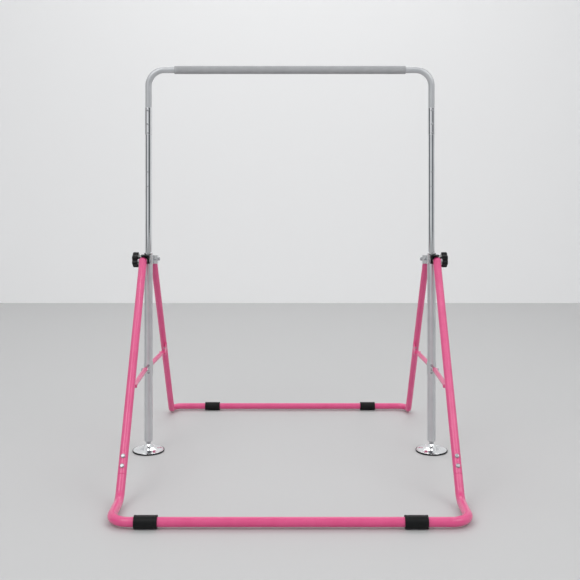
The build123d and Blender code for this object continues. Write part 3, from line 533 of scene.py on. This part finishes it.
# The wall is clear from behind, so that the stand can be seen from every side.
paint = wall.data.materials[0].node_tree
clear_back = add(paint, "ShaderNodeMixShader", inputs={
    "Fac": add(paint, "ShaderNodeNewGeometry").outputs["Backfacing"],
    1: paint.nodes["Principled BSDF"].outputs["BSDF"],
    2: add(paint, "ShaderNodeBsdfTransparent").outputs["BSDF"]})
paint.links.new(clear_back.outputs["Shader"], paint.nodes["Material Output"].inputs["Surface"])


def area_light(name, place, target, size, power):
    """A soft light at place, aimed at target, of size across by size up."""
    data = bpy.data.lights.new(name, "AREA")
    data.shape = "RECTANGLE"
    data.size, data.size_y = size
    data.energy = power
    lamp = bpy.data.objects.new(name, data)
    bpy.context.scene.collection.objects.link(lamp)
    across, along, axis = basis(np.array(place) - np.array(target))
    rows = [[across[i], along[i], axis[i], place[i]] for i in range(3)]
    lamp.matrix_world = Matrix(rows + [[0, 0, 0, 1]])


area_light("key_softbox", (-2.6, -3.2, 4.2), (0, 0, 0.6), (2.6, 2.6), 60)
area_light("fill_softbox", (3.0, -2.6, 3.4), (0, 0, 0.6), (2.6, 2.6), 42)
area_light("back_softbox", (0, 2.3, 4.6), (0, 0.1, 0.3), (4.0, 2.4), 60)
# Two strips over the front, which draw the light stripes down the front legs' gloss paint.
for side, word in SIDES:
    area_light(f"strip_{word}", (side * 0.8, -1.5, 4.0), (side * 0.3, 0, 0.5), (0.25, 1.6), 5)

world = bpy.data.worlds.new("studio_air")
bpy.context.scene.world = world
world.use_nodes = True
air = world.node_tree
# The room round the stand: darker upright panels to the left and right of the front, which
# the chrome tubes show as streaks, and a pale ceiling.
direction = add(air, "ShaderNodeSeparateXYZ", inputs={
    "Vector": add(air, "ShaderNodeTexCoord").outputs["Generated"]})
forward = add(air, "ShaderNodeMath", {"operation": "MULTIPLY"}, {
    0: direction.outputs["Y"], 1: -1.0})
heading = add(air, "ShaderNodeMath", {"operation": "ARCTAN2"}, {
    0: direction.outputs["X"], 1: forward.outputs["Value"]})
turn = add(air, "ShaderNodeMapRange", inputs={
    "Value": heading.outputs["Value"], "From Min": -math.pi, "From Max": math.pi})
panels = add(air, "ShaderNodeValToRGB", inputs={"Fac": turn.outputs["Result"]})
# Left is at 0.25, front at 0.5 and right at 0.75.
set_stops(panels, ((0.0, "#F4F4F5"), (0.205, "#F4F4F5"), (0.235, "#46484C"), (0.32, "#424448"),
                   (0.355, "#F0F1F3"), (0.45, "#F0F1F3"), (0.49, "#C4C6C9"), (0.53, "#BDBFC2"),
                   (0.59, "#5C5E62"), (0.665, "#585A5E"), (0.70, "#F2F3F4"), (1.0, "#F4F4F5")))
height = add(air, "ShaderNodeMapRange", {"interpolation_type": "SMOOTHSTEP"}, {
    "Value": direction.outputs["Z"], "From Min": 0.25, "From Max": 0.6})
sky = add(air, "ShaderNodeMix", {"data_type": "RGBA"}, {
    "Factor": height.outputs["Result"], MIX_A: panels.outputs["Color"],
    MIX_B: linear("#F8F9FA")})
# Straight overhead is darker, which gives the foot discs' cones their dark middle line.
zenith = add(air, "ShaderNodeMapRange", {"interpolation_type": "SMOOTHSTEP"}, {
    "Value": direction.outputs["Z"], "From Min": 0.88, "From Max": 0.95})
overhead = add(air, "ShaderNodeMix", {"data_type": "RGBA"}, {
    "Factor": zenith.outputs["Result"], MIX_A: sky.outputs[MIX_RESULT],
    MIX_B: linear("#3C3E41")})
# Seen directly, beyond the wall and floor, the room is plain and pale.
seen = add(air, "ShaderNodeMix", {"data_type": "RGBA"}, {
    "Factor": add(air, "ShaderNodeLightPath").outputs["Is Camera Ray"],
    MIX_A: overhead.outputs[MIX_RESULT], MIX_B: linear("#E9EAEB")})
air.links.new(seen.outputs[MIX_RESULT], air.nodes["Background"].inputs["Color"])
air.nodes["Background"].inputs["Strength"].default_value = AIR_STRENGTH

camera_data = bpy.data.cameras.new("camera")
camera_data.sensor_width = SENSOR_MM
camera_data.lens = LENS_MM
camera_data.shift_y = VERTICAL_SHIFT
camera = bpy.data.objects.new("camera", camera_data)
camera.location = (0, POLE_Y - CAMERA_BACK, CAMERA_HEIGHT)
camera.rotation_euler = (math.pi / 2, 0, 0)
bpy.context.scene.collection.objects.link(camera)
bpy.context.scene.camera = camera
bpy.context.scene.view_settings.view_transform = "Standard"
